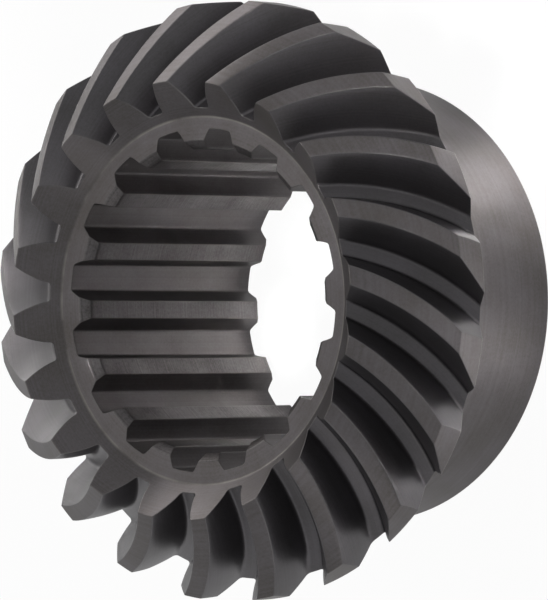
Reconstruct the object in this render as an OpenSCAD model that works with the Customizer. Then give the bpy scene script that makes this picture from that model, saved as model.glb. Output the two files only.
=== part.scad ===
// Spiral bevel gear for a mitre pair, cut with its splined bore and its long hub from one steel blank.
// The back face of the hub lies on z = 0, the axis is Z, and the small end of the teeth points up.

/* [Teeth] */
// Number of teeth
teeth = 20; // [20:1:26]
// Module at the large end, pitch diameter over number of teeth
gear_module = 5; // [4.9:0.05:6]
// Half angle of the pitch cone, 45 degrees for a mitre pair
pitch_angle = 45; // [43:0.5:48]
// Height of a tooth above the pitch cone at the large end
addendum = 4.4; // [3.6:0.05:4.8]
// Depth of a tooth space below the pitch cone at the large end
dedendum = 4.8; // [4:0.05:5.4]
// Pressure angle of the flanks, square to the tooth
pressure_angle = 20; // [18:0.5:24]
// Spiral angle at the middle of the teeth, right hand
spiral_angle = 31.3; // [22:0.1:36]
// Radius of the round cutter head that gives the teeth their curve
cutter_r = 44.5; // [42:0.5:90]
// What a tooth is thicker than half the pitch, measured on the pitch cone
thick_extra = 0.3; // [0:0.05:0.6]
// Radius in the root corners of a tooth space at the large end
root_fillet = 0.9; // [0.4:0.05:1.2]
// Angle of the first tooth at its small end
first_tooth = 6.6; // [0:0.1:17.9]

/* [Blank] */
// Height of the pitch circle at the large end above the back face
crown_back = 35; // [30:0.5:50]
// What is turned off the sharp crown, measured on the radius
crown_off = 3.1; // [0.6:0.05:3.8]
// Diameter of the hub
hub_d = 75; // [66:0.5:90]
// Chamfer round the back of the hub
hub_chamfer = 1.2; // [0.4:0.1:2.5]
// Width of the flat ring round the mouth of the bore
ring_w = 1.95; // [0.8:0.05:3.5]
// Step from the ring out to the tooth roots at the small end, measured on the radius
root_step = 1.46; // [0.5:0.02:3]

/* [Splined bore] */
// Number of splines
spline_teeth = 16; // [12:1:17]
// Diameter over the bottoms of the spline grooves
spline_major_d = 57; // [55:0.1:62]
// Diameter of the bore between the crests of the splines
spline_minor_d = 50.5; // [49.5:0.1:52]
// Pitch diameter of the splines
spline_pitch_d = 53.3; // [52.6:0.1:54.5]
// Width of a spline groove along the pitch circle
groove_w = 6.1; // [5.4:0.05:6.5]
// Pressure angle of the spline flanks
spline_angle = 26; // [24:0.5:30]
// Radius in the root corners of a spline groove
groove_fillet = 0.6; // [0.2:0.05:0.8]
// Lead-in chamfer on the crests at both ends of the bore
lead_in = 1.4; // [0.5:0.05:2.4]
// Angle of the first spline groove
first_groove = 14.7; // [0:0.1:22.4]

/* [Hidden] */
steel = [0.31, 0.30, 0.29];

// How far the cutting shapes run past the metal
over = 1.5;
// Steps along a tooth, up a flank and round a root corner
tooth_steps = 10;
flank_steps = 5;
fillet_steps = 3;
// Steps up a spline flank, round its root corner and along half its root
spline_steps = 4;
corner_steps = 4;
floor_steps = 2;
// Steps of the round surfaces, which stay true circles in the finished solid
round_fn = 120;

// Pitch cone: a place on it is a distance from the apex, and a height square to the cone
heel_r = gear_module * teeth / 2;
cone_l = heel_r / sin(pitch_angle);
apex_z = crown_back + heel_r / tan(pitch_angle);
dedendum_angle = atan(dedendum / cone_l);
virtual_teeth = teeth / cos(pitch_angle);

// Small end of the teeth, where their roots stand clear of the ring round the bore
ring_r = spline_major_d / 2 + ring_w;
toe_l = (ring_r + root_step) / (sin(pitch_angle) - dedendum / cone_l * cos(pitch_angle));
mean_l = (toe_l + cone_l) / 2;

// Centre of the cutter head, as its distance from the apex on the pitch plane
cutter_l = sqrt(mean_l * mean_l + cutter_r * cutter_r - 2 * mean_l * cutter_r * sin(spiral_angle));

// Radius and height of a place on the pitch cone
function cone_r(s, h) = s * sin(pitch_angle) + h * cos(pitch_angle);
function cone_z(s, h) = apex_z - s * cos(pitch_angle) + h * sin(pitch_angle);

// Height of the tips and of the roots at a distance from the apex, and the height at a radius
function tip_h(s) = addendum - (cone_l - s) * tan(dedendum_angle);
function root_h(s) = -dedendum * s / cone_l;
function height_at(s, r) = (r - s * sin(pitch_angle)) / cos(pitch_angle);

// Blank corners
toe_tip = [cone_r(toe_l, tip_h(toe_l)), cone_z(toe_l, tip_h(toe_l))];
ring_z = cone_z(toe_l, height_at(toe_l, ring_r));
outer_r = heel_r + addendum * cos(pitch_angle) - crown_off;
tip_angle = pitch_angle + dedendum_angle;
band_top = toe_tip[1] - (outer_r - toe_tip[0]) / tan(tip_angle);
band_foot = cone_z(cone_l, height_at(cone_l, outer_r));
hub_r = hub_d / 2;
hub_top = cone_z(cone_l, height_at(cone_l, hub_r));

// Spiral of the teeth: the pitch plane turns by this much about the apex, and a tooth by more
function swing(s) = acos((s * s + cutter_l * cutter_l - cutter_r * cutter_r) / (2 * s * cutter_l));
function spiral_at(s) = asin((s * s + cutter_r * cutter_r - cutter_l * cutter_l) / (2 * s * cutter_r));
function tooth_turn(s) = first_tooth + (swing(s) - swing(toe_l)) / sin(pitch_angle);

// Involute of a base circle: the angle that a flank has turned at a radius, in degrees
function lean(base, r) = r > base ? acos(base / r) : 0;
function involute(a) = tan(a) * 180 / PI - a;

// Section of a tooth space square to the pitch cone, as on a spur gear of the back cone's radius.
// Each point of one half is a radius and an angle from the middle of the space.
function space_half(s) =
    let (
        pitch_r = s * tan(pitch_angle),
        across = atan(tan(pressure_angle) / cos(spiral_at(s))),
        base = pitch_r * cos(across),
        middle = 90 / virtual_teeth - thick_extra / 2 / pitch_r * 180 / PI - involute(across),
        fillet = root_fillet * s / cone_l,
        centre_r = pitch_r + root_h(s) + fillet,
        slope = lean(base, centre_r),
        centre_turn = middle + involute(slope) - fillet / centre_r / cos(slope) * 180 / PI,
        corner = [for (i = [0:fillet_steps])
            let (
                e = (90 - slope) * i / fillet_steps,
                x = centre_r - fillet * cos(e),
                y = fillet * sin(e)
            )
            [norm([x, y]), centre_turn + atan2(y, x)]],
        start = corner[fillet_steps][0],
        rise = pitch_r + tip_h(s) + over - start
    )
    concat(corner, [for (i = [1:flank_steps])
        let (r = start + rise * i / flank_steps)
        [r, middle + involute(lean(base, r))]]);

// A point of that section, placed on the gear
function on_gear(s, r, turn) =
    let (
        h = r - s * tan(pitch_angle),
        a = tooth_turn(s) + 180 / teeth + turn / cos(pitch_angle)
    )
    [cone_r(s, h) * cos(a), cone_r(s, h) * sin(a), cone_z(s, h)];

function space_ring(s) =
    let (half = space_half(s), n = len(half))
    concat(
        [for (i = [n - 1:-1:0]) on_gear(s, half[i][0], -half[i][1])],
        [on_gear(s, s * tan(pitch_angle) + root_h(s), 0)],
        [for (p = half) on_gear(s, p[0], p[1])]
    );

// Tooth space that the cutter leaves between two teeth
module tooth_space() {
    side = fillet_steps + 1 + flank_steps;
    ring = 2 * side + 1;
    first = toe_l - over;
    last = cone_l + over;
    points = [for (k = [0:tooth_steps]) each space_ring(first + (last - first) * k / tooth_steps)];
    walls = [for (k = [0:tooth_steps - 1], i = [0:ring - 1])
        let (a = k * ring + i, b = k * ring + (i + 1) % ring)
        each [[a, b + ring, b], [a, a + ring, b + ring]]];
    cap = concat(
        [for (i = [0:side - 2]) each [[i, i + 1, ring - 1 - i], [i + 1, ring - 2 - i, ring - 1 - i]]],
        [[side - 1, side, side + 1]]
    );
    end = tooth_steps * ring;
    far_cap = [for (t = cap) [t[0] + end, t[2] + end, t[1] + end]];
    polyhedron(points = points, faces = concat(walls, cap, far_cap));
}

// Outline of one spline groove, with involute flanks and round root corners
function groove_outline() =
    let (
        major_r = spline_major_d / 2,
        pitch_r = spline_pitch_d / 2,
        base = pitch_r * cos(spline_angle),
        middle = groove_w / 2 / pitch_r * 180 / PI + involute(spline_angle),
        inner = spline_minor_d / 2 - over / 4,
        centre_r = major_r - groove_fillet,
        slope = lean(base, centre_r),
        centre_turn = middle - involute(slope) - groove_fillet / centre_r / cos(slope) * 180 / PI,
        flank = [for (i = [0:spline_steps - 1])
            let (r = inner + (centre_r - inner) * i / (spline_steps - 1))
            [r, middle - involute(lean(base, r))]],
        corner = [for (i = [0:corner_steps])
            let (
                e = (90 - slope) * (1 - i / corner_steps),
                x = centre_r + groove_fillet * cos(e),
                y = groove_fillet * sin(e)
            )
            [norm([x, y]), centre_turn + atan2(y, x)]],
        floor = [for (i = [1:floor_steps]) [major_r, centre_turn * (1 - i / floor_steps)]],
        half = concat(flank, corner, floor),
        n = len(half)
    )
    concat(
        [for (p = half) [p[0] * cos(p[1]), p[0] * sin(p[1])]],
        [for (i = [n - 2:-1:0]) [half[i][0] * cos(half[i][1]), -half[i][0] * sin(half[i][1])]]
    );

// Turned blank: hub, back cone, crown band, tip cone, hollow toe cone and flat ring
module blank() {
    rotate_extrude($fn = round_fn)
        polygon([
            [0, 0],
            [hub_r - hub_chamfer, 0],
            [hub_r, hub_chamfer],
            [hub_r, hub_top],
            [outer_r, band_foot],
            [outer_r, band_top],
            toe_tip,
            [ring_r, ring_z],
            [0, ring_z]
        ]);
}

// Bore with its spline grooves and its lead-in chamfers
module splined_bore() {
    minor_r = spline_minor_d / 2;
    translate([0, 0, -over])
        linear_extrude(height = ring_z + 2 * over) {
            circle(r = minor_r, $fn = round_fn);
            for (k = [0:spline_teeth - 1])
                rotate(first_groove + k * 360 / spline_teeth)
                    polygon(groove_outline());
        }
    for (end = [0, 1])
        translate([0, 0, end * ring_z])
            mirror([0, 0, end])
                translate([0, 0, -over])
                    cylinder(r1 = minor_r + lead_in + over, r2 = minor_r, h = lead_in + over, $fn = round_fn);
}

module bevel_gear() {
    color(steel)
        difference() {
            blank();
            splined_bore();
            for (k = [0:teeth - 1])
                rotate([0, 0, k * 360 / teeth])
                    tooth_space();
        }
}

bevel_gear();
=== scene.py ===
# %% [markdown]
# # A spiral bevel gear
#
# The part is one piece of steel: a turned blank with 20 curved teeth milled into its cone, a hub
# behind them, and a bore with 16 broached spline grooves. The CAD model holds its true size and
# form. Here it gets the skin that the camera sees: rounded edges, smooth tooth curves, and the
# marks that turning, milling, boring and broaching leave on dark steel.

# %% Load the CAD part as the fixed frame
import math

import bmesh
import bpy
from mathutils import Matrix, Vector


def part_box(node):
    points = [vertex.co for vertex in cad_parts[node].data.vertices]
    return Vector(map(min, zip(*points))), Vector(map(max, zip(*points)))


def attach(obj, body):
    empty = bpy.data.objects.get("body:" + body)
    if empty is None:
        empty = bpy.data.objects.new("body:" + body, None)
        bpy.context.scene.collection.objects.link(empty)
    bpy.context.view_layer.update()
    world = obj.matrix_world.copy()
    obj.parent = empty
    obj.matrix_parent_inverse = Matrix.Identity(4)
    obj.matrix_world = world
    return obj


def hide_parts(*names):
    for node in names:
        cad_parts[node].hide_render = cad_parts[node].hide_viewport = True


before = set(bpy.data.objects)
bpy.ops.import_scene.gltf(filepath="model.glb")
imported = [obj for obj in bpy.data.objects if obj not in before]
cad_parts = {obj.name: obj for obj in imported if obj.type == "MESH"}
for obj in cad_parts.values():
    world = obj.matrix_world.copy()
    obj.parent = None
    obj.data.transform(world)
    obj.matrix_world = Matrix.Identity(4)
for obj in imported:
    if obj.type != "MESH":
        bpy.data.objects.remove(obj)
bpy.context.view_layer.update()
MM = 0.001
GEAR = "bevel_gear"
gear_low, gear_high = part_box(GEAR)
print("CAD box in mm:", [round((b - a) / MM, 2) for a, b in zip(gear_low, gear_high)])

# %% [markdown]
# ## The gear's own sizes
#
# A bevel gear is set out on its pitch cone. A place on it is a distance from the cone's apex and a
# height square to the cone, so each size below is one that a gear cutter would read off a drawing.
# They are the sizes that the CAD model was built from.

# %% Sizes of the teeth
TEETH = 20
MODULE = 5 * MM
PITCH_ANGLE = math.radians(45)
ADDENDUM = 4.4 * MM
DEDENDUM = 4.8 * MM
PRESSURE_ANGLE = math.radians(20)
SPIRAL_ANGLE = math.radians(31.3)
CUTTER_RADIUS = 44.5 * MM
THICK_EXTRA = 0.3 * MM
ROOT_FILLET = 0.9 * MM
FIRST_TOOTH = math.radians(6.6)

SIN, COS, TAN = math.sin(PITCH_ANGLE), math.cos(PITCH_ANGLE), math.tan(PITCH_ANGLE)
HEEL_RADIUS = MODULE * TEETH / 2
HEEL = HEEL_RADIUS / SIN
VIRTUAL_TEETH = TEETH / COS
ROOT_SLOPE = DEDENDUM / HEEL

# %% Sizes of the blank and the bore
CROWN_BACK = 35 * MM
CROWN_OFF = 3.13 * MM
HUB_RADIUS = 37.48 * MM
HUB_CHAMFER = 1.2 * MM
RING_WIDTH = 1.95 * MM
ROOT_STEP = 1.46 * MM
SPLINES = 16
SPLINE_MAJOR = 28.5 * MM
SPLINE_MINOR = 25.25 * MM
SPLINE_PITCH = 26.65 * MM
GROOVE_WIDTH = 6.1 * MM
SPLINE_ANGLE = math.radians(26)
GROOVE_FILLET = 0.6 * MM
LEAD_IN = 1.4 * MM
FIRST_GROOVE = math.radians(14.7)

APEX = CROWN_BACK + HEEL_RADIUS / TAN
OUTER_RADIUS = HEEL_RADIUS + ADDENDUM * COS - CROWN_OFF
RING_RADIUS = SPLINE_MAJOR + RING_WIDTH
TOE = (RING_RADIUS + ROOT_STEP) / (SIN - ROOT_SLOPE * COS)
MEAN = (TOE + HEEL) / 2


def height_at(s, radius):
    """Height above the pitch cone of the place at that radius, on the section at distance s."""
    return (radius - s * SIN) / COS


def cone_z(s, h):
    """Height above the back face."""
    return APEX - s * COS + h * SIN


def on_cone(radius, z):
    """Distance from the apex and height above the pitch cone of a place on the turned blank."""
    return radius * SIN + (APEX - z) * COS, radius * COS - (APEX - z) * SIN


RING_Z = cone_z(TOE, height_at(TOE, RING_RADIUS))
HUB_TOP = cone_z(HEEL, height_at(HEEL, HUB_RADIUS))
CROWN_CORNER = (OUTER_RADIUS / COS - ADDENDUM + HEEL * ROOT_SLOPE) / (TAN + ROOT_SLOPE)
print("ring at", round(RING_Z / MM, 2), "hub top at", round(HUB_TOP / MM, 2), "mm")

# %% [markdown]
# ## Rounded edges and even columns
#
# No machined edge is perfectly sharp, and it is the tiny rounding that catches the light. Each edge
# gets a round of a tenth or two of a millimetre. A Bevel modifier could add them, but it stumbles
# where so many thin faces meet, so the rounds are part of the net of rows and columns that makes the
# skin. The columns must add up: 20 teeth of 48 columns and 16 grooves of 60 columns both make 960,
# and the two nets can be sewn together, point by point, on a circle in front and another behind.

# %% Edge sizes and column counts
TIP_ROUND = 0.25 * MM
CREST_ROUND = 0.2 * MM
END_ROUND = 0.12 * MM
SUPPORT = 0.08 * MM
ROUND_STEPS = 3
TOOTH_COLUMNS = {"floor": 3, "fillet": 4, "flank": 10, "round": ROUND_STEPS, "land": 4}
GROOVE_COLUMNS = {"floor": 7, "fillet": 5, "flank": 8, "round": ROUND_STEPS, "crest": 7}
COLUMNS = 2 * TEETH * sum(TOOTH_COLUMNS.values())
assert COLUMNS == 2 * SPLINES * sum(GROOVE_COLUMNS.values())
FRONT_SEAM = 29.5 * MM
BACK_SEAM = 33 * MM
TURNED, MILLED, BORED, BROACHED = range(4)
print("columns all round:", COLUMNS)


# %% [markdown]
# ## The flank of a tooth
#
# Gear teeth are involutes: the path of a string's end as it unwinds from a base circle. A bevel
# tooth, cut square to the pitch cone, looks like the tooth of a larger spur gear with the back
# cone's radius, so the section is drawn as that spur gear and scaled by its distance from the apex.

# %% Involute and section of a tooth space
def lean(base, radius):
    """The pressure angle of a flank at a radius."""
    return math.acos(base / radius) if radius > base else 0.0


def involute(angle):
    """How far the flank has turned about the centre at that pressure angle."""
    return math.tan(angle) - angle


CUTTER_CENTRE = math.sqrt(MEAN**2 + CUTTER_RADIUS**2
                          - 2 * MEAN * CUTTER_RADIUS * math.sin(SPIRAL_ANGLE))


def swing(s):
    """How far the cutter's arc has turned about the apex, on the pitch plane."""
    return math.acos((s**2 + CUTTER_CENTRE**2 - CUTTER_RADIUS**2) / (2 * s * CUTTER_CENTRE))


def spiral_at(s):
    """The angle between a tooth and the straight line to the apex, at that distance from it."""
    return math.asin((s**2 + CUTTER_RADIUS**2 - CUTTER_CENTRE**2) / (2 * s * CUTTER_RADIUS))


def tip_height(s):
    """The tip cone, then the cylinder that the crown was turned down to."""
    return min(ADDENDUM - (HEEL - s) * ROOT_SLOPE, height_at(s, OUTER_RADIUS))


def steps(start, stop, count):
    """Evenly spaced values after start, up to stop."""
    return [start + (stop - start) * (i + 1) / count for i in range(count)]


def rounded_corner(corner_radius, corner_turn, slope, size, side):
    """Points of a rounded corner between a flank and an arc.

    side is 1 at the tip of a tooth, and -1 at a crest in the bore.
    """
    points = []
    for angle in steps(slope, math.pi / 2, ROUND_STEPS):
        radius = corner_radius - side * size * (1 - math.sin(angle))
        shift = size * ((1 - math.sin(slope)) / math.cos(slope) - math.cos(angle))
        points.append((radius, corner_turn + shift / radius))
    return points


def tooth_half(s):
    """From the middle of a tooth space to the middle of the tooth, on the equivalent spur gear.

    Each point is a radius and a turn from the middle of the space.
    """
    n = TOOTH_COLUMNS
    pitch = s * TAN
    across = math.atan(math.tan(PRESSURE_ANGLE) / math.cos(spiral_at(s)))
    base = pitch * math.cos(across)
    middle = math.pi / 2 / VIRTUAL_TEETH - THICK_EXTRA / 2 / pitch - involute(across)
    fillet = ROOT_FILLET * s / HEEL
    centre = pitch - DEDENDUM * s / HEEL + fillet
    slope = lean(base, centre)
    centre_turn = middle + involute(slope) - fillet / centre / math.cos(slope)
    points = [(centre - fillet, centre_turn * i / n["floor"]) for i in range(n["floor"] + 1)]
    for e in steps(0, math.pi / 2 - slope, n["fillet"]):
        x, y = centre - fillet * math.cos(e), fillet * math.sin(e)
        points.append((math.hypot(x, y), centre_turn + math.atan2(y, x)))
    tip = pitch + tip_height(s)
    tip_slope = lean(base, tip)
    stop = tip - TIP_ROUND * (1 - math.sin(tip_slope))
    for radius in steps(points[-1][0], stop, n["flank"]):
        points.append((radius, middle + involute(lean(base, radius))))
    points += rounded_corner(tip, middle + involute(tip_slope), tip_slope, TIP_ROUND, 1)
    points += [(tip, turn) for turn in steps(points[-1][1], math.pi / VIRTUAL_TEETH, n["land"])]
    return points


print("depth of a tooth space at its small and large end in mm:",
      [round((tip_height(s) + DEDENDUM * s / HEEL) / MM, 1) for s in (TOE, HEEL)])

# %% Section of a spline groove
def groove_half(crest):
    """From the middle of a groove to the middle of the crest beside it: (radius, turn)."""
    n = GROOVE_COLUMNS
    base = SPLINE_PITCH * math.cos(SPLINE_ANGLE)
    middle = GROOVE_WIDTH / 2 / SPLINE_PITCH + involute(SPLINE_ANGLE)
    centre = SPLINE_MAJOR - GROOVE_FILLET
    slope = lean(base, centre)
    centre_turn = middle - involute(slope) - GROOVE_FILLET / centre / math.cos(slope)
    points = [(SPLINE_MAJOR, centre_turn * i / n["floor"]) for i in range(n["floor"] + 1)]
    for e in steps(0, math.pi / 2 - slope, n["fillet"]):
        x, y = centre + GROOVE_FILLET * math.cos(e), GROOVE_FILLET * math.sin(e)
        points.append((math.hypot(x, y), centre_turn + math.atan2(y, x)))
    crest_slope = lean(base, crest)
    stop = crest + CREST_ROUND * (1 - math.sin(crest_slope))
    for radius in steps(points[-1][0], stop, n["flank"]):
        points.append((radius, middle - involute(lean(base, radius))))
    points += rounded_corner(crest, middle - involute(crest_slope), crest_slope, CREST_ROUND, -1)
    points += [(crest, turn) for turn in steps(points[-1][1], math.pi / SPLINES, n["crest"])]
    return points


print("points in half a tooth space:", len(tooth_half(MEAN)),
      "and in half a groove:", len(groove_half(SPLINE_MINOR)))


# %% [markdown]
# ## Shrinking a section
#
# To round the end of a tooth, the section is drawn again and again over the last tenth of a
# millimetre, each time moved a little further into the metal, along a quarter circle. The same
# move, a little further still, gives the row that keeps the shading of the flat end clean.

# %% Move a section into the metal and mirror it
def shrunk(points, depth, side):
    """side is 1 where the metal lies under the section, as at a tooth, and -1 in the bore."""
    flat = [Vector((r * math.sin(t), r * math.cos(t))) for r, t in points]
    last = len(flat) - 1
    moved = []
    for i, (p, (radius, turn)) in enumerate(zip(flat, points)):
        if i in (0, last):
            moved.append((radius - side * depth, turn))
            continue
        way = (flat[i + 1] - flat[i - 1]).normalized()
        q = p - side * depth * Vector((-way.y, way.x))
        moved.append((q.length, math.atan2(q.x, q.y)))
    return moved


def both_sides(half):
    """The whole section, from one side to the other."""
    return [(r, -t) for r, t in reversed(half[1:])] + half


def run_lengths(points):
    """Length of the section up to each point, from its middle."""
    flat = [Vector((r * math.sin(t), r * math.cos(t))) for r, t in points]
    total = [0.0]
    for a, b in zip(flat, flat[1:]):
        total.append(total[-1] + (b - a).length)
    return [t - total[len(total) // 2] for t in total]


def end_round():
    """Steps from an end face to the full section, as the way along and the depth into the metal."""
    turns = [math.pi / 2 * i / ROUND_STEPS for i in range(ROUND_STEPS + 1)]
    return [(END_ROUND * (1 - math.cos(a)), END_ROUND * (1 - math.sin(a))) for a in turns]


print("steps along a rounded end in mm:", [round(way / MM, 3) for way, depth in end_round()])

# %% [markdown]
# ## The two strips
#
# A strip is one tooth space, or one groove, laid out flat: its X is the turn round the axis, its Y
# the distance from the apex (or the height in the bore) and its Z the height above the pitch cone
# (or the radius). It carries on over the end faces as far as the seams, so that 20 and 16 copies
# close the whole gear. Geometry Nodes will roll it up later. The spaces could also be cut from a
# turned blank with booleans, as in the CAD model, but the thin faces that a cut leaves shade badly.

# %% What a row of a strip holds
CORNER_WEAR = [0.15, 0.1]  # 0 is untouched film, 1 is bare steel


class Row:
    """One row of a strip.

    It holds its points, which finish the faces after it have, how pale its points are from wear, with a
    painted highlight on the ring's rim, and how far along the section each one lies.
    """

    def __init__(self, points, zones, edge, across):
        self.points, self.zones, self.edge, self.across = points, zones, edge, across


def even_turns(offset, count):
    """Columns at whole steps all round the gear, as turns from the middle of a strip."""
    first = round((offset - math.pi / count) / (2 * math.pi) * COLUMNS)
    step = 2 * math.pi / COLUMNS
    return [(first + i) * step - offset for i in range(COLUMNS // count + 1)]


def across_zones(columns, sides, top):
    """The finish of each column across a section: top on its last part, sides on the others."""
    last = list(columns)[-1]
    half = []
    for part, count in columns.items():
        half += [top if part == last else sides] * count
    return half[::-1] + half


def across_wear(columns):
    """How worn each point across a section is: only the start of its rounded corners is."""
    corner = columns["floor"] + columns["fillet"] + columns["flank"] + 1
    half = [0.0] * corner + CORNER_WEAR
    half += [0.0] * (sum(columns.values()) + 1 - len(half))
    return half[:0:-1] + half


tooth_zone = across_zones(TOOTH_COLUMNS, MILLED, TURNED)
groove_zone = across_zones(GROOVE_COLUMNS, BROACHED, BORED)
tip_wear = across_wear(TOOTH_COLUMNS)
crest_wear = across_wear(GROOVE_COLUMNS)
print("columns of a tooth space:", len(tooth_zone), "and of a groove:", len(groove_zone))

# %% [markdown]
# ## From the ring over the teeth to the back
#
# The rows run from the seam on the flat ring up a step to the small ends of the teeth, along the
# teeth, down their large ends, and over the hub to its back face. They stand close together where
# the surface bends, and a row close beside each edge keeps the edge's shading off the flat faces.

# %% Ways to make a row of the tooth strip
SPACE_TURN = FIRST_TOOTH + math.pi / TEETH
HEEL_TURN = SPACE_TURN + (swing(HEEL) - swing(TOE)) / SIN
toe_even = even_turns(SPACE_TURN, TEETH)
heel_even = even_turns(HEEL_TURN, TEETH)
all_turned = [TURNED] * len(tooth_zone)


def tooth_row(s, depth, worn_end, zones, worn_tip=1.0):
    """A row across the tooth space at distance s, moved into the metal by depth."""
    section = both_sides(shrunk(tooth_half(s), depth, 1))
    points = [(turn / COS, s, radius - s * TAN) for radius, turn in section]
    edge = [max(worn_end, worn_tip * e) for e in tip_wear]
    return Row(points, zones, edge, run_lengths(section))


def blank_row(turns, radius, z, worn=0.0):
    """A row round the turned blank."""
    s, h = on_cone(radius, z)
    return Row([(t, s, h) for t in turns], all_turned, [worn] * len(turns), [t * radius for t in turns])


def below(row, s, h):
    """The same columns, further down an end face."""
    return Row([(p[0], s, h) for p in row.points], all_turned, [0.0] * len(row.points), row.across)


def between(a, b, part):
    """A row that lies that part of the way from one row to another."""
    points = [tuple(x + (y - x) * part for x, y in zip(p, q)) for p, q in zip(a.points, b.points)]
    return Row(points, all_turned, [0.0] * len(points), a.across)


print("a tooth space turns by", round(math.degrees(HEEL_TURN - SPACE_TURN), 1), "degrees on its way")

# %% Front rows, from the seam on the flat ring to the small ends of the teeth
RIM = 0.15 * MM
TOE_DROP, HEEL_DROP = 3 * SUPPORT, 5 * SUPPORT  # from the roots down to the next row of the end face
# The pale line on the ring's rim is partly worn steel and partly a painted highlight, where the rim's edge
# catches the light.
RING_ROWS = (  # radius and wear
    (FRONT_SEAM, 0), (RING_RADIUS - 2 * RIM, 0), (RING_RADIUS - RIM, 0.15), (RING_RADIUS, 0.5),
)
front = [blank_row(toe_even, radius, RING_Z, worn) for radius, worn in RING_ROWS]
toe_foot = blank_row(toe_even, RING_RADIUS + 2 * RIM, RING_Z + 2 * RIM)
toe_edge = tooth_row(TOE, END_ROUND + SUPPORT, 0, all_turned, 0)
middle_column = len(toe_edge.points) // 2
toe_shelf = below(toe_edge, TOE, toe_edge.points[middle_column][2] - TOE_DROP)
front += [toe_foot, between(toe_foot, toe_shelf, 0.5), toe_shelf, toe_edge]
print("front rows:", len(front))

# %% Rows along the teeth, over the tip cone and the band of the crown
TOOTH_STEPS = 24
BAND_STEPS = 6
END_WEAR = 0.15
body = [TOE + END_ROUND + SUPPORT]
body += steps(body[0], CROWN_CORNER - RIM, TOOTH_STEPS) + [CROWN_CORNER, CROWN_CORNER + RIM]
body += steps(body[-1], HEEL - END_ROUND - SUPPORT, BAND_STEPS)
teeth = [tooth_row(TOE + way, depth, END_WEAR, tooth_zone) for way, depth in end_round()]
teeth += [tooth_row(s, 0, 0, tooth_zone) for s in body]
teeth += [tooth_row(HEEL - way, depth, END_WEAR, tooth_zone) for way, depth in reversed(end_round())]
teeth[-1].zones = all_turned
print("rows along the teeth:", len(teeth))

# %% Back rows, from the large ends of the teeth over the hub to the seam behind
heel_edge = tooth_row(HEEL, END_ROUND + SUPPORT, 0, all_turned, 0)
heel_shelf = below(heel_edge, HEEL, heel_edge.points[middle_column][2] - HEEL_DROP)
hub_root = blank_row(heel_even, HUB_RADIUS + RIM, HUB_TOP + RIM)
back = [heel_edge, heel_shelf]
back += [between(heel_shelf, hub_root, part) for part in (0.25, 0.5, 0.75)] + [hub_root]
CUT = 0.06 * MM  # taken off each edge of the chamfer, where it is worn bright
HUB_ROWS = (  # radius, height and wear
    (HUB_RADIUS, HUB_TOP - RIM, 0), (HUB_RADIUS, HUB_TOP * 0.75, 0), (HUB_RADIUS, HUB_TOP * 0.5, 0),
    (HUB_RADIUS, HUB_TOP * 0.25, 0), (HUB_RADIUS, HUB_CHAMFER + 2 * RIM, 0),
    (HUB_RADIUS, HUB_CHAMFER + CUT, 0.4), (HUB_RADIUS - CUT, HUB_CHAMFER - CUT, 0.9),
    (HUB_RADIUS - 2 * RIM, HUB_CHAMFER - 2 * RIM, 0), (HUB_RADIUS - HUB_CHAMFER + 2 * RIM, 2 * RIM, 0),
    (HUB_RADIUS - HUB_CHAMFER + CUT, CUT, 0.8), (HUB_RADIUS - HUB_CHAMFER - CUT, 0, 0.4),
    (HUB_RADIUS - HUB_CHAMFER - 2 * RIM, 0, 0), (BACK_SEAM, 0, 0),
)
back += [blank_row(heel_even, radius, z, worn) for radius, z, worn in HUB_ROWS]
tooth_rows = front + teeth + back
print("tooth strip:", len(tooth_rows), "rows of", len(tooth_rows[0].points), "points")

# %% [markdown]
# ## Through the bore
#
# A spline groove runs straight through the bore, so most of its rows are alike. At both ends the
# crests have a lead-in chamfer, on which a shaft finds its way in: over the last 1.4 mm the crest's
# radius grows and the flanks get shorter, with the same number of columns.

# %% Rows of the groove strip
BORE_STEPS = 6
MOUTH_WEAR = 0.1
groove_even = even_turns(FIRST_GROOVE, SPLINES)
all_faced = [TURNED] * len(groove_zone)


def groove_row(z, depth, worn_end, zones, worn_crest=1.0):
    """A row across a groove at height z, moved into the metal by depth."""
    from_end = min(z, RING_Z - z)
    crest = SPLINE_MINOR + max(0.0, LEAD_IN - from_end)
    section = both_sides(shrunk(groove_half(crest), depth, -1))
    points = [(turn, z, radius) for radius, turn in section]
    edge = [max(worn_end, worn_crest * e) for e in crest_wear]
    return Row(points, zones, edge, run_lengths(section))


def face_row(radius, z):
    """A row round the flat face at one end of the bore."""
    return Row([(t, z, radius) for t in groove_even], all_faced, [0.0] * len(groove_even),
               [t * radius for t in groove_even])


into = [(way, depth, MOUTH_WEAR) for way, depth in end_round()]
into += [(way, 0, 0) for way in (END_ROUND + SUPPORT, LEAD_IN - RIM, LEAD_IN + RIM, LEAD_IN + 4 * RIM)]
groove_rows = [face_row(FRONT_SEAM, RING_Z), groove_row(RING_Z, END_ROUND + SUPPORT, 0, all_faced, 0)]
groove_rows += [groove_row(RING_Z - way, depth, worn, groove_zone) for way, depth, worn in into]
groove_rows += [groove_row(z, 0, 0, groove_zone) for z in steps(RING_Z, 0, BORE_STEPS)[:-1]]
groove_rows += [groove_row(way, depth, worn, groove_zone) for way, depth, worn in reversed(into)]
groove_rows[-1].zones = all_faced
groove_rows += [groove_row(0, END_ROUND + SUPPORT, 0, all_faced, 0), face_row(BACK_SEAM, 0)]
print("groove strip:", len(groove_rows), "rows of", len(groove_rows[0].points), "points")
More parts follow.
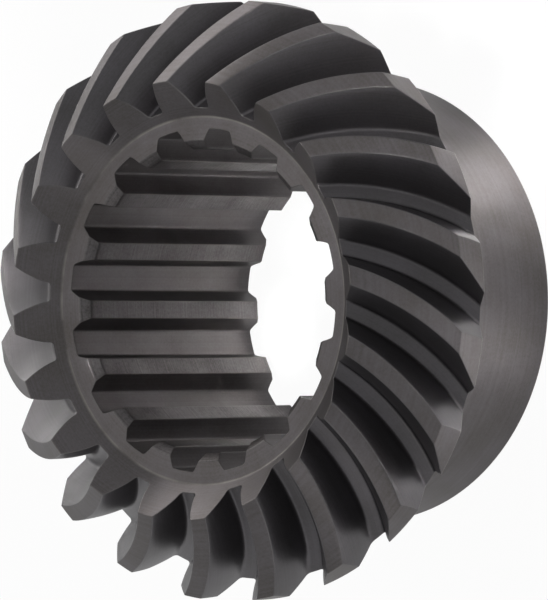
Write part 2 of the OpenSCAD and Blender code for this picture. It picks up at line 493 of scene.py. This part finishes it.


# %% [markdown]
# ## From rows to a mesh
#
# The strip keeps three things for the materials: the finish of each face, how worn each point is, with a
# painted highlight on the ring's rim, and a map in metres, with X across the strip and Y along it. They
# stay with the mesh when it is bent, so the tool marks follow the teeth, which a pattern on the object's
# own axes could not do.

# %% Turn rows into a strip mesh
def strip_mesh(name, rows, outward):
    """A flat net of the rows, with each face's finish, each point's wear and rim highlight, and a map of
    the tool marks.
    """
    width = len(rows[0].points)
    points = [p for row in rows for p in row.points]
    faces = [(r * width + c, (r + 1) * width + c, (r + 1) * width + c + 1, r * width + c + 1)[::outward]
             for r in range(len(rows) - 1) for c in range(width - 1)]
    mesh = bpy.data.meshes.new(name)
    mesh.from_pydata(points, [], faces)
    zone = mesh.attributes.new("zone", "INT", "FACE")
    zone.data.foreach_set("value", [z for row in rows[:-1] for z in row.zones])
    edge = mesh.attributes.new("edge", "FLOAT", "POINT")
    edge.data.foreach_set("value", [e for row in rows for e in row.edge])
    across = [a for row in rows for a in row.across]
    marks = mesh.uv_layers.new(name="marks")
    for loop in mesh.loops:
        i = loop.vertex_index
        marks.uv[loop.index].vector = (across[i], points[i][1])
    strip = bpy.data.objects.new(name, mesh)
    bpy.context.scene.collection.objects.link(strip)
    return strip


tooth_strip = strip_mesh("tooth_strip", tooth_rows, 1)
groove_strip = strip_mesh("groove_strip", groove_rows, -1)
print("strips:", len(tooth_strip.data.polygons), "and", len(groove_strip.data.polygons), "faces")


# %% [markdown]
# ## One helper for every node
#
# Materials and Geometry Nodes trees are both built in code. The helper adds one node, sets what it
# is told to, and links it. A number or name in `values` picks an input socket; any other name is a
# setting of the node itself.

# %% Node helper
def add_node(tree, kind, values=None, links=None, **settings):
    """Add a node of that kind, with its settings, its sockets' own values and its links."""
    node = tree.nodes.new(kind)
    for name, value in settings.items():
        setattr(node, name, value)
    for socket, value in (values or {}).items():
        node.inputs[socket].default_value = value
    for socket, source in (links or {}).items():
        tree.links.new(source, node.inputs[socket])
    return node


def srgb(hex_colour):
    """A colour as seen on a screen, turned into the linear light that shaders work in."""
    parts = [int(hex_colour[i:i + 2], 16) / 255 for i in (1, 3, 5)]
    return [c / 12.92 if c <= 0.04045 else ((c + 0.055) / 1.055) ** 2.4 for c in parts] + [1.0]


print("a middle grey on the screen is", round(srgb("#808080")[0], 3), "in linear light")

# %% [markdown]
# ## Steel with the marks of its making
# On the rim of the front ring the pale line is partly a painted highlight.
#
# The gear is plain alloy steel, machined and then dulled by a thin film of oil and heat, so it is a
# dark metal with a soft shine. Turning leaves rings round the axis, boring leaves finer ones,
# broaching leaves lines along the bore, and the milling cutter leaves lines along the teeth. Evenly
# spaced lines would look drawn with a ruler, so the marks are noise that changes in one direction
# only. Where edges are worn, the film is gone and the bare steel shows.
#
# The true marks are some 0.05 to 0.2 mm apart, and the true grain is finer still. That is too fine
# for the picture, so both are drawn coarser, at 0.35 to 0.45 mm.

# %% Sizes and strengths of the marks
# Pale bare steel for worn edges; on the ring's rim it is partly a painted highlight.
BARE_STEEL_AND_HIGHLIGHT = "#B9B5AC"
FILM_METALLIC = 0.86  # oil and oxide hide a little of the metal
STAIN_SIZE = 9 * MM  # clouds in the film, as wide as a fingertip's touch
GRAIN_SIZE = 0.45 * MM
MARK_SHARE, GRAIN_SHARE = 0.5, 0.9  # how much marks and grain count beside the stains in the colour
TONE_RANGE = {"From Min": 0.9, "From Max": 1.5}  # of their sum, from the dark film to the light one
WEAR_RANGE = {"From Min": 0.35, "From Max": 0.62}  # of the stains, from no wear to full wear
DULLER, SHINIER = 0.1, 0.08  # how far the grain moves the roughness
GRAIN_RELIEF = 0.35  # height of the grain against that of the marks
RING_CLIMB = 0.4  # how much of the height counts beside the radius, so that a hub gets rings too
RING_SHINE = {"Anisotropic": 0.7, "Anisotropic Rotation": 0.25}
COLOUR_A, COLOUR_B, COLOUR_OUT = 6, 7, 2  # sockets of a Mix node that mixes colours
print("grain", GRAIN_SIZE / MM, "mm, stains", STAIN_SIZE / MM, "mm")


# %% Where the marks run
def mark_distance(tree, place, marks):
    """The distance along which a finish's marks change.

    marks is "rings" for turned faces, and otherwise the axis of the marks map that crosses them.
    """
    if marks != "rings":
        spread = add_node(tree, "ShaderNodeUVMap", uv_map="marks")
        return add_node(tree, "ShaderNodeSeparateXYZ", links={0: spread.outputs[0]}).outputs[marks]
    split = add_node(tree, "ShaderNodeSeparateXYZ", links={0: place}).outputs
    flat = add_node(tree, "ShaderNodeCombineXYZ", links={0: split[0], 1: split[1]})
    radius = add_node(tree, "ShaderNodeVectorMath", links={0: flat.outputs[0]}, operation="LENGTH")
    rings = add_node(tree, "ShaderNodeMath", {1: RING_CLIMB}, {0: split[2], 2: radius.outputs["Value"]},
                     operation="MULTIPLY_ADD")
    return rings.outputs[0]


# %% The colour of oiled and worn steel
def steel_colour(tree, wave, stain, grain, light, dark):
    """A mottled film between two tones, and bare steel where the edges are worn, which on the ring's rim is
    partly a painted highlight.
    """
    tone = add_node(tree, "ShaderNodeMath", {1: MARK_SHARE}, {0: wave, 2: stain}, operation="MULTIPLY_ADD")
    tone = add_node(tree, "ShaderNodeMath", {1: GRAIN_SHARE}, {0: grain, 2: tone.outputs[0]},
                    operation="MULTIPLY_ADD")
    reach = add_node(tree, "ShaderNodeMapRange", TONE_RANGE, {"Value": tone.outputs[0]})
    film = add_node(tree, "ShaderNodeMix", {COLOUR_A: srgb(dark), COLOUR_B: srgb(light)},
                    {0: reach.outputs[0]}, data_type="RGBA")
    worn = add_node(tree, "ShaderNodeAttribute", attribute_name="edge")
    patchy = add_node(tree, "ShaderNodeMapRange", WEAR_RANGE, {"Value": stain})
    wear_and_highlight = add_node(tree, "ShaderNodeMath", links={0: worn.outputs["Fac"], 1: patchy.outputs[0]},
                    operation="MULTIPLY")
    mixed = add_node(tree, "ShaderNodeMix", {COLOUR_B: srgb(BARE_STEEL_AND_HIGHLIGHT)},
                     {0: wear_and_highlight.outputs[0], COLOUR_A: film.outputs[COLOUR_OUT]}, data_type="RGBA")
    return mixed.outputs[COLOUR_OUT]


# %% [markdown]
# ## The shine of a turned face
#
# A turned face is a stack of fine rings, each a tiny mirror that is curved across the cut and
# straight along it. So it spreads a light across the rings and hardly along them, which draws the
# soft streak along the hub. That is an anisotropic shine, and its tangent runs round the axis, with
# a quarter turn because it is smoothest along the rings. Bump alone can't give it, because the true
# rings are finer than the picture's pixels.

# %% One finish
def machined_steel(name, light, dark, roughness, marks, spacing, depth):
    """Steel with two tones of film, and marks of that spacing and depth in metres."""
    material = bpy.data.materials.new(name)
    material.use_nodes = True
    tree = material.node_tree
    tree.nodes.clear()
    place = add_node(tree, "ShaderNodeTexCoord").outputs["Object"]
    run = mark_distance(tree, place, marks)
    wave = add_node(tree, "ShaderNodeTexNoise", {"Scale": 1 / spacing, "Detail": 2.0, "Roughness": 0.6},
                    {"W": run}, noise_dimensions="1D").outputs["Fac"]
    stain = add_node(tree, "ShaderNodeTexNoise",
                     {"Scale": 1 / STAIN_SIZE, "Detail": 3.0, "Roughness": 0.55},
                     {"Vector": place}).outputs["Fac"]
    grain = add_node(tree, "ShaderNodeTexNoise",
                     {"Scale": 1 / GRAIN_SIZE, "Detail": 3.0, "Roughness": 0.7},
                     {"Vector": place}).outputs["Fac"]
    dull = add_node(tree, "ShaderNodeMapRange",
                    {"To Min": roughness - SHINIER, "To Max": roughness + DULLER}, {"Value": grain})
    relief = add_node(tree, "ShaderNodeMath", {1: GRAIN_RELIEF}, {0: grain, 2: wave},
                      operation="MULTIPLY_ADD")
    bump = add_node(tree, "ShaderNodeBump", {"Strength": 1.0, "Distance": depth},
                    {"Height": relief.outputs[0]})
    values = {"Metallic": FILM_METALLIC}
    links = {"Base Color": steel_colour(tree, wave, stain, grain, light, dark),
             "Roughness": dull.outputs[0], "Normal": bump.outputs[0]}
    if marks == "rings":
        values.update(RING_SHINE)
        about_axis = add_node(tree, "ShaderNodeTangent", direction_type="RADIAL", axis="Z")
        links["Tangent"] = about_axis.outputs[0]
    steel = add_node(tree, "ShaderNodeBsdfPrincipled", values, links)
    add_node(tree, "ShaderNodeOutputMaterial", links={"Surface": steel.outputs[0]})
    return material


# %% The four finishes of the gear
ACROSS, ALONG = 0, 1  # the axes of the marks map
# Turned on a lathe: the smoothest, with fine rings and a shine that follows them.
turned_steel = machined_steel("turned_steel", "#757174", "#625E5C", 0.36, "rings", 0.35 * MM, 0.003 * MM)
# Milled with a round cutter head: the darkest, almost smooth, with faint lines along the teeth.
milled_steel = machined_steel("milled_steel", "#6D6A6E", "#5D5B5C", 0.38, ACROSS, 0.35 * MM, 0.002 * MM)
# Bored before the splines were cut: the roughest, with rings that cross each crest as short bars.
bored_steel = machined_steel("bored_steel", "#827E80", "#524F4E", 0.44, ALONG, 0.4 * MM, 0.012 * MM)
# Broached, by a toothed bar pulled through: duller, with straight scratches along the bore.
broached_steel = machined_steel("broached_steel", "#797577", "#64605F", 0.42, ACROSS, 0.4 * MM, 0.003 * MM)
print("finishes:", [m.name for m in bpy.data.materials])


# %% [markdown]
# ## Rolling up the strips with Geometry Nodes
#
# What makes a spiral bevel gear is one rule: the cutter's arc turns each section about the apex by
# an angle that depends only on its distance from the apex. So one tree bends the flat strip on to
# the cone, and copies it round the axis. A second does the same in the bore, where there is nothing
# to twist. A third sews both together. The rule is then in one place, and a gear with other teeth
# needs only other numbers.

# %% Copies round the axis
def new_tree(name, inputs):
    """An empty Geometry Nodes tree with named inputs, and its input node."""
    tree = bpy.data.node_groups.new(name, "GeometryNodeTree")
    for label, kind in inputs:
        tree.interface.new_socket(label, in_out="INPUT", socket_type=kind)
    tree.interface.new_socket("Geometry", in_out="OUTPUT", socket_type="NodeSocketGeometry")
    return tree, add_node(tree, "NodeGroupInput").outputs


copies_tree, given = new_tree("copies_round_the_axis",
                              [("Geometry", "NodeSocketGeometry"), ("Copies", "NodeSocketInt")])
places = add_node(copies_tree, "GeometryNodePoints", links={"Count": given["Copies"]})
number = add_node(copies_tree, "GeometryNodeInputIndex")
one_turn = add_node(copies_tree, "ShaderNodeMath", {0: 2 * math.pi}, {1: given["Copies"]},
                    operation="DIVIDE")
angle = add_node(copies_tree, "ShaderNodeMath", links={0: number.outputs[0], 1: one_turn.outputs[0]},
                 operation="MULTIPLY")
turned = add_node(copies_tree, "FunctionNodeAxisAngleToRotation", {"Axis": (0, 0, 1)},
                  {"Angle": angle.outputs[0]})
copies = add_node(copies_tree, "GeometryNodeInstanceOnPoints", links={
    "Points": places.outputs[0], "Instance": given["Geometry"], "Rotation": turned.outputs[0]})
real = add_node(copies_tree, "GeometryNodeRealizeInstances", links={"Geometry": copies.outputs[0]})
add_node(copies_tree, "NodeGroupOutput", links={0: real.outputs[0]})
print("copies tree:", len(copies_tree.nodes), "nodes")

# %% Bend the tooth strip on to the pitch cone: the radius and height of each point
cone_tree, given = new_tree("wrap_on_pitch_cone", [
    ("Geometry", "NodeSocketGeometry"), ("Teeth", "NodeSocketInt"), ("Pitch Angle", "NodeSocketFloat"),
    ("Apex Height", "NodeSocketFloat"), ("Toe", "NodeSocketFloat"), ("Heel", "NodeSocketFloat"),
    ("Cutter Radius", "NodeSocketFloat"), ("Cutter Centre", "NodeSocketFloat"),
    ("Start Turn", "NodeSocketFloat")])
cone_slope = given["Pitch Angle"]
sine = add_node(cone_tree, "ShaderNodeMath", links={0: cone_slope}, operation="SINE").outputs[0]
cosine = add_node(cone_tree, "ShaderNodeMath", links={0: cone_slope}, operation="COSINE").outputs[0]
spot = add_node(cone_tree, "GeometryNodeInputPosition")
flat = add_node(cone_tree, "ShaderNodeSeparateXYZ", links={0: spot.outputs[0]}).outputs
rise = add_node(cone_tree, "ShaderNodeMath", links={0: flat[2], 1: cosine}, operation="MULTIPLY")
radius = add_node(cone_tree, "ShaderNodeMath", links={0: flat[1], 1: sine, 2: rise.outputs[0]},
                  operation="MULTIPLY_ADD")
lift = add_node(cone_tree, "ShaderNodeMath", links={0: flat[2], 1: sine, 2: given["Apex Height"]},
                operation="MULTIPLY_ADD")
drop = add_node(cone_tree, "ShaderNodeMath", links={0: flat[1], 1: cosine}, operation="MULTIPLY")
height = add_node(cone_tree, "ShaderNodeMath", links={0: lift.outputs[0], 1: drop.outputs[0]},
                  operation="SUBTRACT")
arm = add_node(cone_tree, "ShaderNodeCombineXYZ", links={0: radius.outputs[0], 2: height.outputs[0]})
print("pitch cone tree:", len(cone_tree.nodes), "nodes before the turn")

# %% [markdown]
# ## The cutter's arc
#
# On the pitch plane, the apex, the cutter's centre and a point of the tooth make a triangle. Two of
# its sides never change, so the law of cosines gives the angle at the apex from the third side, the
# point's distance. That angle over the sine of the pitch angle is the turn round the gear's axis. The
# flat ends beyond the teeth keep the turn of the last section, which is what the clamp is for.

# %% Bend the tooth strip: the turn of each point, and the copies
along = add_node(cone_tree, "ShaderNodeClamp",
                 links={"Value": flat[1], "Min": given["Toe"], "Max": given["Heel"]})
square = add_node(cone_tree, "ShaderNodeMath", {1: 2.0}, {0: along.outputs[0]}, operation="POWER")
centre_square = add_node(cone_tree, "ShaderNodeMath", {1: 2.0}, {0: given["Cutter Centre"]},
                         operation="POWER")
cutter_square = add_node(cone_tree, "ShaderNodeMath", {1: 2.0}, {0: given["Cutter Radius"]},
                         operation="POWER")
total = add_node(cone_tree, "ShaderNodeMath", links={0: square.outputs[0], 1: centre_square.outputs[0]},
                 operation="ADD")
left = add_node(cone_tree, "ShaderNodeMath", links={0: total.outputs[0], 1: cutter_square.outputs[0]},
                operation="SUBTRACT")
twice = add_node(cone_tree, "ShaderNodeMath", {1: 2.0}, {0: along.outputs[0]}, operation="MULTIPLY")
under = add_node(cone_tree, "ShaderNodeMath", links={0: twice.outputs[0], 1: given["Cutter Centre"]},
                 operation="MULTIPLY")
part = add_node(cone_tree, "ShaderNodeMath", links={0: left.outputs[0], 1: under.outputs[0]},
                operation="DIVIDE")
swung = add_node(cone_tree, "ShaderNodeMath", links={0: part.outputs[0]}, operation="ARCCOSINE")
about_axis = add_node(cone_tree, "ShaderNodeMath", links={0: swung.outputs[0], 1: sine},
                      operation="DIVIDE")
turn = add_node(cone_tree, "ShaderNodeMath", links={0: flat[0], 1: about_axis.outputs[0]}, operation="ADD")
turn = add_node(cone_tree, "ShaderNodeMath", links={0: turn.outputs[0], 1: given["Start Turn"]},
                operation="ADD")
swept = add_node(cone_tree, "ShaderNodeVectorRotate",
                 links={"Vector": arm.outputs[0], "Angle": turn.outputs[0]}, rotation_type="Z_AXIS")
placed = add_node(cone_tree, "GeometryNodeSetPosition",
                  links={"Geometry": given["Geometry"], "Position": swept.outputs[0]})
ring = add_node(cone_tree, "GeometryNodeGroup", node_tree=copies_tree)
cone_tree.links.new(placed.outputs[0], ring.inputs["Geometry"])
cone_tree.links.new(given["Teeth"], ring.inputs["Copies"])
add_node(cone_tree, "NodeGroupOutput", links={0: ring.outputs[0]})
print("pitch cone tree:", len(cone_tree.nodes), "nodes")

# %% Bend the groove strip into the bore
bore_tree, given = new_tree("wrap_in_bore", [
    ("Geometry", "NodeSocketGeometry"), ("Splines", "NodeSocketInt"), ("First Groove", "NodeSocketFloat")])
spot = add_node(bore_tree, "GeometryNodeInputPosition")
flat = add_node(bore_tree, "ShaderNodeSeparateXYZ", links={0: spot.outputs[0]}).outputs
turn = add_node(bore_tree, "ShaderNodeMath", links={0: flat[0], 1: given["First Groove"]}, operation="ADD")
arm = add_node(bore_tree, "ShaderNodeCombineXYZ", links={0: flat[2], 2: flat[1]})
swept = add_node(bore_tree, "ShaderNodeVectorRotate",
                 links={"Vector": arm.outputs[0], "Angle": turn.outputs[0]}, rotation_type="Z_AXIS")
placed = add_node(bore_tree, "GeometryNodeSetPosition",
                  links={"Geometry": given["Geometry"], "Position": swept.outputs[0]})
ring = add_node(bore_tree, "GeometryNodeGroup", node_tree=copies_tree)
bore_tree.links.new(placed.outputs[0], ring.inputs["Geometry"])
bore_tree.links.new(given["Splines"], ring.inputs["Copies"])
add_node(bore_tree, "NodeGroupOutput", links={0: ring.outputs[0]})
print("bore tree:", len(bore_tree.nodes), "nodes")

# %% [markdown]
# ## Sewing the skin together
#
# The two rings of copies meet on the two seams, where their points coincide. Merge by Distance
# closes them, and each face gets the steel that its zone number stands for. Two separate skins that
# only touch would look the same from here, but a closed one can be weighed, printed and cut.

# %% The whole gear as one tree
GEAR_INPUTS = [
    ("Tooth Strip", "NodeSocketObject", tooth_strip), ("Groove Strip", "NodeSocketObject", groove_strip),
    ("Teeth", "NodeSocketInt", TEETH), ("Pitch Angle", "NodeSocketFloat", PITCH_ANGLE),
    ("Apex Height", "NodeSocketFloat", APEX), ("Toe", "NodeSocketFloat", TOE),
    ("Heel", "NodeSocketFloat", HEEL), ("Cutter Radius", "NodeSocketFloat", CUTTER_RADIUS),
    ("Cutter Centre", "NodeSocketFloat", CUTTER_CENTRE),
    ("Start Turn", "NodeSocketFloat", SPACE_TURN - swing(TOE) / SIN),
    ("Splines", "NodeSocketInt", SPLINES), ("First Groove", "NodeSocketFloat", FIRST_GROOVE),
    ("Sewing Distance", "NodeSocketFloat", 0.01 * MM)]
skin_tree, given = new_tree("gear_skin", [(label, kind) for label, kind, value in GEAR_INPUTS])
tooth_info = add_node(skin_tree, "GeometryNodeObjectInfo", links={"Object": given["Tooth Strip"]})
groove_info = add_node(skin_tree, "GeometryNodeObjectInfo", links={"Object": given["Groove Strip"]})
outside = add_node(skin_tree, "GeometryNodeGroup", node_tree=cone_tree)
skin_tree.links.new(tooth_info.outputs["Geometry"], outside.inputs["Geometry"])
for label in ("Teeth", "Pitch Angle", "Apex Height", "Toe", "Heel", "Cutter Radius", "Cutter Centre",
              "Start Turn"):
    skin_tree.links.new(given[label], outside.inputs[label])
inside = add_node(skin_tree, "GeometryNodeGroup", node_tree=bore_tree)
skin_tree.links.new(groove_info.outputs["Geometry"], inside.inputs["Geometry"])
for label in ("Splines", "First Groove"):
    skin_tree.links.new(given[label], inside.inputs[label])
joined = add_node(skin_tree, "GeometryNodeJoinGeometry")
skin_tree.links.new(outside.outputs[0], joined.inputs[0])
skin_tree.links.new(inside.outputs[0], joined.inputs[0])
sewn = add_node(skin_tree, "GeometryNodeMergeByDistance",
                links={"Geometry": joined.outputs[0], "Distance": given["Sewing Distance"]})
smooth = add_node(skin_tree, "GeometryNodeSetShadeSmooth", links={"Geometry": sewn.outputs[0]})
skin = add_node(skin_tree, "GeometryNodeRealizeInstances", links={"Geometry": smooth.outputs[0]})
zone = add_node(skin_tree, "GeometryNodeInputNamedAttribute", {"Name": "zone"}, data_type="INT")
FINISHES = {TURNED: turned_steel, MILLED: milled_steel, BORED: bored_steel, BROACHED: broached_steel}
WHOLE_A, WHOLE_B = 2, 3  # sockets of a Compare node that compares whole numbers
for number, steel in FINISHES.items():
    chosen = add_node(skin_tree, "FunctionNodeCompare", {WHOLE_B: number},
                      {WHOLE_A: zone.outputs[0]}, data_type="INT", operation="EQUAL")
    skin = add_node(skin_tree, "GeometryNodeSetMaterial", {"Material": steel},
                    {"Geometry": skin.outputs[0], "Selection": chosen.outputs[0]})
add_node(skin_tree, "NodeGroupOutput", links={0: skin.outputs[0]})
print("skin tree:", len(skin_tree.nodes), "nodes")

# %% Run the tree and keep its result as a plain mesh
maker = bpy.data.objects.new("gear_maker", bpy.data.meshes.new("gear_maker"))
bpy.context.scene.collection.objects.link(maker)
roll = maker.modifiers.new("gear_skin", "NODES")
roll.node_group = skin_tree
sockets = {item.name: item.identifier for item in skin_tree.interface.items_tree if item.in_out == "INPUT"}
for label, kind, value in GEAR_INPUTS:
    roll[sockets[label]] = value
gear_mesh = bpy.data.meshes.new_from_object(
    maker.evaluated_get(bpy.context.evaluated_depsgraph_get()), preserve_all_data_layers=True,
    depsgraph=bpy.context.evaluated_depsgraph_get())
gear_mesh.name = "spiral_bevel_gear"
# The strips had no material, which leaves an empty slot in front of the four finishes.
while gear_mesh.materials[0] is None:
    gear_mesh.materials.pop(index=0)
for helper in (maker, tooth_strip, groove_strip):
    bpy.data.objects.remove(helper)
gear = bpy.data.objects.new("spiral_bevel_gear", gear_mesh)
bpy.context.scene.collection.objects.link(gear)

# %% Measure the skin
check = bmesh.new()
check.from_mesh(gear_mesh)
open_edges = sum(not e.is_manifold for e in check.edges)
volume = check.calc_volume(signed=True)
check.free()
print("gear:", len(gear_mesh.polygons), "faces,", open_edges, "open edges,", round(volume / MM**3), "mm3")
for i, steel in enumerate(gear_mesh.materials):
    print(steel.name, "on", sum(face.material_index == i for face in gear_mesh.polygons), "faces")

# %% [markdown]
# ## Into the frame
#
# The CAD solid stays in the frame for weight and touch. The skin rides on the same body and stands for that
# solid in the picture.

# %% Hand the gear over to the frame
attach(gear, "root")
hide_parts(GEAR)
print(gear.name, "stands for", GEAR)

# %% [markdown]
# ## Floor
#
# The gear lies on its back face on a sheet of white paper. To the camera the paper is almost all
# glow, so it is plain white with a trace of the gear's shadow. The steel mirrors a part of that
# glow. For all other light the paper is plain matte, so the white background lights nothing.

# %% Floor
FLOOR_SIZE = 4.0
FLOOR_DROP = 0.02 * MM
PAPER_SEEN = 0.96  # how much of the paper is glow to the camera
PAPER_MIRRORED = 0.4  # and how much to what mirrors it
PAPER_COLOUR = "#F4F4F4"
half = FLOOR_SIZE / 2
floor_mesh = bpy.data.meshes.new("floor")
floor_mesh.from_pydata([(-half, -half, -FLOOR_DROP), (half, -half, -FLOOR_DROP),
                        (half, half, -FLOOR_DROP), (-half, half, -FLOOR_DROP)], [], [(0, 1, 2, 3)])
floor = bpy.data.objects.new("floor", floor_mesh)
bpy.context.scene.collection.objects.link(floor)
# Uncoated paper: matte, and a little darker than pure white.
paper = bpy.data.materials.new("white_paper")
paper.use_nodes = True
tree = paper.node_tree
tree.nodes.clear()
path = add_node(tree, "ShaderNodeLightPath").outputs
matte = add_node(tree, "ShaderNodeBsdfDiffuse", {"Color": srgb(PAPER_COLOUR)})
glow = add_node(tree, "ShaderNodeEmission", {"Color": (1, 1, 1, 1), "Strength": 1.0})
mirrored = add_node(tree, "ShaderNodeMath", operation="MAXIMUM",
                    links={0: path["Is Glossy Ray"], 1: path["Is Transmission Ray"]})
mirrored = add_node(tree, "ShaderNodeMath", {1: PAPER_MIRRORED}, {0: mirrored.outputs[0]},
                    operation="MULTIPLY")
seen = add_node(tree, "ShaderNodeMath", {1: PAPER_SEEN}, {0: path["Is Camera Ray"], 2: mirrored.outputs[0]},
                operation="MULTIPLY_ADD")
cover = add_node(tree, "ShaderNodeMixShader",
                 links={0: seen.outputs[0], 1: matte.outputs[0], 2: glow.outputs[0]})
add_node(tree, "ShaderNodeOutputMaterial", links={"Surface": cover.outputs[0]})
floor_mesh.materials.append(paper)
print("floor", FLOOR_SIZE, "m wide")

# %% [markdown]
# ## A light tent
#
# The gear stands in a light tent, an even pale grey all round. The camera itself sees plain white
# there, so that the background stays white without more light on the gear.

# %% World
TENT_COLOUR = (0.97, 0.98, 0.98, 1)
TENT_STRENGTH = 0.42
world = bpy.data.worlds.new("light_tent")
bpy.context.scene.world = world
world.use_nodes = True
tree = world.node_tree
tree.nodes.clear()
path = add_node(tree, "ShaderNodeLightPath").outputs
tent = add_node(tree, "ShaderNodeBackground", {"Color": TENT_COLOUR, "Strength": TENT_STRENGTH})
white = add_node(tree, "ShaderNodeBackground", {"Color": (1, 1, 1, 1), "Strength": 1.0})
both = add_node(tree, "ShaderNodeMixShader",
                links={0: path["Is Camera Ray"], 1: tent.outputs[0], 2: white.outputs[0]})
add_node(tree, "ShaderNodeOutputWorld", links={"Surface": both.outputs[0]})
print("tent at", TENT_STRENGTH, "of white")

# %% [markdown]
# ## Lamps
#
# Steel shows what it mirrors more than what falls on it. Three soft boxes stand round the gear. The
# hub, the crown and the bore mirror the floor close by, so narrow beams make small bright pools
# there. On glowing paper the camera sees hardly anything of a pool, but the steel does. That gives
# the bright streak on the hub and the lighter grooves in the bore, with very little light.

# %% Soft boxes and beams
LAMP_COLOUR = (1, 0.97, 0.94)


def soft_lamp(name, place, aim, width, height, watts, spread=180):
    """A soft box at a place, aimed at another. A small spread in degrees gathers its light to a beam."""
    data = bpy.data.lights.new(name, "AREA")
    data.shape = "RECTANGLE"
    data.size, data.size_y = width, height
    data.energy = watts
    data.spread = math.radians(spread)
    data.color = LAMP_COLOUR
    lamp = bpy.data.objects.new(name, data)
    bpy.context.scene.collection.objects.link(lamp)
    lamp.location = place
    lamp.rotation_euler = (Vector(aim) - lamp.location).to_track_quat("-Z", "Y").to_euler()


GEAR_MIDDLE = (0, 0, 0.025)
# Name, place, aim, width and height in metres, watts, and for a beam its spread in degrees.
soft_lamp("side_lamp", (-0.65, 0.606, 0.14), GEAR_MIDDLE, 0.7, 0.15, 1.75)
soft_lamp("top_lamp", (-0.516, 0.0, 0.737), GEAR_MIDDLE, 0.4, 0.4, 0.28)
soft_lamp("hub_beam", (0.210, 0.190, 0.193), (0.0415, 0.0355, 0), 0.01, 0.01, 0.008, 3)
soft_lamp("hub_pool", (0.216, 0.182, 0.193), (0.044, 0.031, 0), 0.02, 0.02, 0.006, 5)
soft_lamp("front_lamp", (0.16, -0.6, 0.33), GEAR_MIDDLE, 0.25, 0.25, 0.12)
soft_lamp("heel_lamp", (0.2, -0.02, 0.193), (0.051, -0.014, 0), 0.01, 0.01, 0.0012, 5)
FLOOR_POOLS = (  # name, place on the floor, height of the lamp, its width, length, watts and spread
    ("crown_lamp", (0.037, 0.06), 0.35, 0.06, 0.06, 0.021, 12),
    ("left_floor_lamp", (-0.13, 0.03), 0.5, 0.05, 0.05, 0.03, 12),
    ("right_floor_lamp", (0.1, -0.02), 0.5, 0.05, 0.05, 0.03, 12),
    ("bore_lamp", (-0.009, 0.009), 0.35, 0.016, 0.01, 0.0026, 3),
    ("groove_lamp", (-0.0195, -0.005), 0.35, 0.005, 0.010, 0.0014, 2),
)
for name, (x, y), height, width, length, watts, spread in FLOOR_POOLS:
    soft_lamp(name, (x, y, height), (x, y, 0), width, length, watts, spread)

# %% [markdown]
# ## Camera
#
# A long lens, over a metre away, sees the gear turned 39 degrees off its axis. Its place was found
# by fitting the gear's circles and tooth corners to the photograph.

# %% Camera
AXIS_TURN = math.radians(39.191)
AXIS_RISE = math.radians(0.16)
LENS, SENSOR_WIDTH = 409.9, 36
CAMERA_REACH = 1131.4 * MM
SIDE_STEP = 12.1 * MM
DOWN_STEP = 0.07 * MM

gear_axis = Vector((-math.sin(AXIS_TURN) * math.cos(AXIS_RISE), math.sin(AXIS_RISE),
                    math.cos(AXIS_TURN) * math.cos(AXIS_RISE)))
gear_x = Vector((0, 1, 0)).cross(gear_axis).normalized()
gear_y = gear_axis.cross(gear_x)
to_camera = Matrix((gear_x, gear_y, gear_axis)).transposed()
shift = Vector((-SIDE_STEP, -DOWN_STEP, -CAMERA_REACH))
place = -(to_camera.transposed() @ shift) + Vector((0, 0, RING_Z))
camera = bpy.data.objects.new("camera", bpy.data.cameras.new("camera"))
bpy.context.scene.collection.objects.link(camera)
camera.matrix_world = Matrix.Translation(place) @ to_camera.transposed().to_4x4()
camera.data.lens = LENS
camera.data.sensor_width = SENSOR_WIDTH
bpy.context.scene.camera = camera
print("camera at", [round(c / MM) for c in place], "mm")

# %% [markdown]
# ## Last settings
#
# The Standard view shows a colour about as it is written. The skin must stay inside the CAD model.

# %% View settings
bpy.context.scene.view_settings.view_transform = "Standard"
